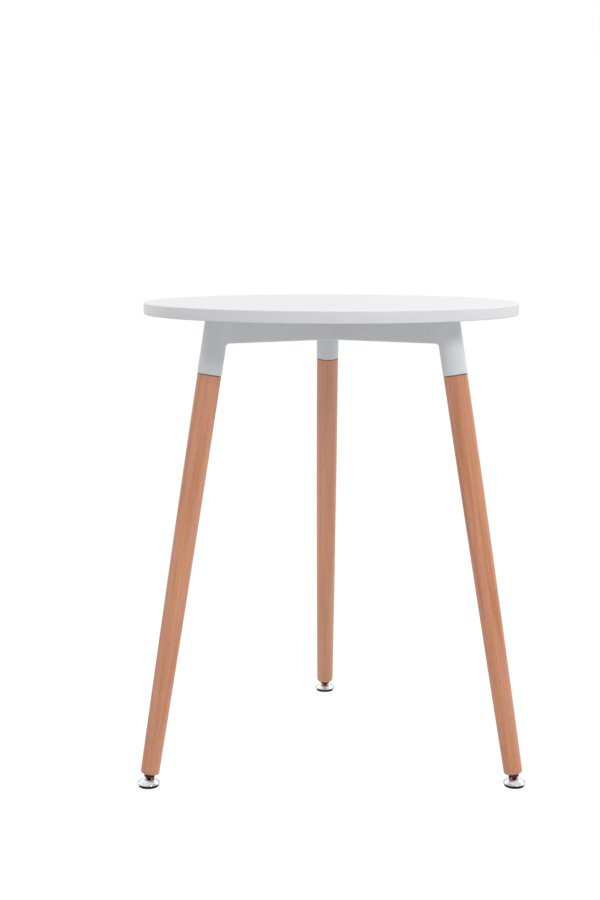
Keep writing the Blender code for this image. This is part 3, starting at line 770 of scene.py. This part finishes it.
def make_cup(place):
    """The bell of the foot: a rolled rim, a hollow flare and a flat lid with a round opening."""
    node = f"{place}_foot_cup"
    matrix = foot_frame(place)
    radii, heights = turned_points(node, matrix)
    rim_low, lid = float(heights.min()), float(heights.max())
    opening, rim = float(radii.min()), float(radii.max())
    recess = float(radii[heights < rim_low + NEAR].min())
    recess_top = float(heights[np.abs(radii - recess) < NEAR].max())
    ceiling = lid - CUP_LID

    profile = [(opening, lid - CUP_EDGE), (opening + CUP_EDGE, lid)]
    profile += arc(CUP_SHOULDER, lid - CUP_SHOULDER_RADIUS, CUP_SHOULDER_RADIUS, 90, 38, 6)
    start_radius, start_height = profile[-1]
    end_radius, end_height = rim - FLARE_INSET, rim_low + FLARE_RISE
    for i in range(1, FLARE_STEPS):
        share = i / FLARE_STEPS
        radius = start_radius + (end_radius - start_radius) * share
        height = start_height + (end_height - start_height) * share
        profile.append((radius, height + FLARE_BOW * sin(pi * share)))
    profile += arc(rim - CUP_LIP, rim_low + CUP_LIP, CUP_LIP, 40, 0, 5)
    profile += arc(rim - CUP_EDGE, rim_low + CUP_EDGE, CUP_EDGE, 0, -90, 4)[1:]
    profile += [(recess, rim_low), (recess, recess_top), (CUP_HOLLOW, recess_top)]
    profile += [(CUP_HOLLOW, ceiling), (opening, ceiling)]
    cup = new_object(f"{place}_bell", turned_mesh("cup", profile, 96), matrix)
    finish_piece(cup, CHROME, node, crease=radians(50))


def make_pad(place):
    """The rubber pad: softened edges, two shallow grooves underneath and a dish on top."""
    node = f"{place}_foot_pad"
    matrix = foot_frame(place)
    radii, heights = turned_points(node, matrix)
    low, high = float(heights.min()), float(heights.max())
    radius = float(radii.max())
    dish_radius = float(radii[(heights > high - NEAR) & (radii < radius - MILLIMETRE)].max())
    dish_depth = -float(heights[radii < NEAR].max())
    dish_end = -degrees(atan2(-high, dish_radius))
    profile = [(0.0, -dish_depth), *arc(0.0, 0.0, dish_depth, -90, dish_end, 8)[1:]]
    profile += arc(radius - PAD_TOP_EDGE, high - PAD_TOP_EDGE, PAD_TOP_EDGE, 90, 0, 3)
    profile += arc(radius - PAD_LOW_EDGE, low + PAD_LOW_EDGE, PAD_LOW_EDGE, 0, -90, 5)
    for share in PAD_GROOVES:
        groove = share * radius
        profile += [(groove + PAD_GROOVE_DEPTH, low), (groove, low + PAD_GROOVE_DEPTH)]
        profile += [(groove - PAD_GROOVE_DEPTH, low)]
    profile.append((0.0, low))
    pad = new_object(f"{place}_pad", turned_mesh("pad", profile, 72), matrix)
    finish_piece(pad, RUBBER, node, crease=radians(50))


def make_seat(place):
    """The nylon half-shell round the ball."""
    node = f"{place}_foot_seat"
    matrix = leg_frame(place)
    outer = float(np.hypot(*turned_points(node, matrix)).max())
    inner = BALL_RADIUS + FIT
    profile = [(0.0, -inner), *arc(0.0, 0.0, inner, -90, 0, 12)[1:]]
    profile += [*arc(0.0, 0.0, outer, 0, -90, 12)[:-1], (0.0, -outer)]
    seat = new_object(f"{place}_half_shell", turned_mesh("seat", profile, 48), matrix)
    finish_piece(seat, NYLON, node, crease=radians(50))


# ---- Screws of the board ----------------------------------------------------------------

HEAD_EDGE = 0.8 * MILLIMETRE
TIP_CHAMFER = 0.6 * MILLIMETRE
KEY_ACROSS_FLATS = 4 * MILLIMETRE
KEY_DEPTH = 2 * MILLIMETRE


def make_top_screw(spot):
    """A cylinder-head screw: rounded rim, hexagonal key socket and a plain upper shank."""
    node = f"{spot}_top_screw"
    matrix = screw_frame(spot)
    radii, heights = turned_points(node, matrix)
    head_bottom, tip = float(heights.min()), float(heights.max())
    head_radius = float(radii.max())
    head_top = float(heights[radii > head_radius - NEAR].max())
    shank = float(radii[heights > tip - NEAR].max())
    profile = [(0.0, tip), (shank - TIP_CHAMFER, tip), (shank, tip - TIP_CHAMFER)]
    profile += [(shank, head_top), (head_radius, head_top)]
    profile += arc(head_radius - HEAD_EDGE, head_bottom + HEAD_EDGE, HEAD_EDGE, 0, -90, 6)
    profile.append((0.0, head_bottom))
    screw = new_object(f"{spot}_screw", turned_mesh("screw", profile, 48), matrix)
    key = hexagon_mesh("key", KEY_ACROSS_FLATS, head_bottom - OVERCUT, head_bottom + KEY_DEPTH)
    combine(screw, "DIFFERENCE", key)
    finish_piece(screw, ZINC, node)


make_table_top()
make_bracket()
for place in PLACES:
    make_leg(place)
    make_stud(place)
    make_cup(place)
    make_pad(place)
    make_seat(place)
for spot in SCREW_SPOTS:
    make_top_screw(spot)

# The bolts, washers and inserts stay as they are in the frame, with their own materials.
KEPT_NODES = {"leg_bolt": ZINC, "leg_washer": ZINC, "insert": YELLOW_ZINC}
for name, node in frame["nodes"].items():
    for ending, material in KEPT_NODES.items():
        if name.endswith(ending):
            node.data.materials.clear()
            node.data.materials.append(material)

# ---- Studio -----------------------------------------------------------------------------

FLOOR_SIZE = 14.0
FLOOR_DROP = 0.2 * MILLIMETRE
WHITE = (1.0, 1.0, 1.0, 1.0)
SKY_TOWARD = {"X": 0.40, "-X": 0.54, "Y": 0.70, "Z": 0.78}
LIGHTS_AIM = Vector((0.0, 0.0, 0.5))


def make_floor():
    """A pale floor that glows a little, as a lit paper sweep does, so shadows stay faint."""
    mesh = bmesh.new()
    bmesh.ops.create_grid(mesh, x_segments=1, y_segments=1, size=FLOOR_SIZE / 2)
    data = bpy.data.meshes.new("floor")
    mesh.to_mesh(data)
    mesh.free()
    floor = new_object("floor", data, Matrix.Translation((0.0, 0.0, -FLOOR_DROP)))
    material = bpy.data.materials.new("paper_sweep")
    material.use_nodes = True
    paper = Nodes(material.node_tree)
    paper.tree.nodes.clear()
    dull = paper.node("ShaderNodeBsdfDiffuse", {"Color": (0.60, 0.60, 0.60, 1.0)}).outputs[0]
    pale = paper.node("ShaderNodeBsdfDiffuse", {"Color": (0.07, 0.07, 0.07, 1.0)}).outputs[0]
    glow = paper.node("ShaderNodeEmission", {"Strength": 0.955}).outputs[0]
    both = paper.node("ShaderNodeAddShader", {0: pale, 1: glow}).outputs[0]
    paper.end_by_ray("ShaderNodeOutputMaterial", other_rays=dull, camera_rays=both)
    data.materials.append(material)


def make_world():
    """Soft light from all round, with its own strength toward each side; white to the camera."""
    world = bpy.data.worlds.new("studio")
    bpy.context.scene.world = world
    world.use_nodes = True
    sky = Nodes(world.node_tree)
    sky.tree.nodes.clear()
    direction = sky.node("ShaderNodeTexCoord").outputs["Generated"]
    sides = sky.node("ShaderNodeSeparateXYZ", {0: direction}).outputs
    strength = 0.0
    for side, share in SKY_TOWARD.items():
        sign = -1.0 if side.startswith("-") else 1.0
        facing = sky.math("MULTIPLY", sides[side[-1]], sign, clamp=True)
        strength = sky.math("MULTIPLY_ADD", facing, share, strength)
    soft = sky.node("ShaderNodeBackground", {"Color": WHITE, "Strength": strength}).outputs[0]
    white = sky.node("ShaderNodeBackground", {"Color": WHITE}).outputs[0]
    sky.end_by_ray("ShaderNodeOutputWorld", other_rays=soft, camera_rays=white)


def make_softbox(name, place, size, energy):
    """A rectangular lamp, aimed at the middle of the table."""
    light = bpy.data.lights.new(name, "AREA")
    light.shape = "RECTANGLE"
    light.size, light.size_y = size
    light.energy = energy
    lamp = bpy.data.objects.new(name, light)
    bpy.context.scene.collection.objects.link(lamp)
    turn = (LIGHTS_AIM - Vector(place)).to_track_quat("-Z", "Y").to_matrix().to_4x4()
    lamp.matrix_world = Matrix.Translation(place) @ turn


CAMERA_DISTANCE = 2.3958  # on the floor, from the table's axis
CAMERA_HEIGHT = 0.8558
CAMERA_AZIMUTH = radians(-1.471)  # round the table's axis from straight in front
CAMERA_HEADING = radians(0.288)  # clockwise from +Y
CAMERA_PITCH = radians(8.244)  # downwards
CAMERA_ROLL = radians(0.072)
CAMERA_LENS = 59.29  # millimetres
CAMERA_SENSOR = 36.0  # millimetres, along its long side


def make_camera():
    data = bpy.data.cameras.new("camera")
    data.lens = CAMERA_LENS
    data.sensor_width = CAMERA_SENSOR
    camera = bpy.data.objects.new("camera", data)
    bpy.context.scene.collection.objects.link(camera)
    around = Matrix.Rotation(CAMERA_AZIMUTH, 4, "Z")
    place = TABLE_AXIS + around @ Vector((0.0, -CAMERA_DISTANCE, CAMERA_HEIGHT))
    forward = Vector((sin(CAMERA_HEADING), cos(CAMERA_HEADING), -tan(CAMERA_PITCH)))
    look = forward.to_track_quat("-Z", "Y").to_matrix().to_4x4()
    camera.matrix_world = Matrix.Translation(place) @ look @ Matrix.Rotation(CAMERA_ROLL, 4, "Z")
    bpy.context.scene.camera = camera


make_floor()
make_world()
make_softbox("side", (2.2, 0.8, 1.8), (0.9, 0.9), 11.0)
make_softbox("front", (1.3, -2.5, 1.88), (0.6, 0.6), 21.0)
make_camera()
bpy.context.scene.view_settings.view_transform = "Standard"
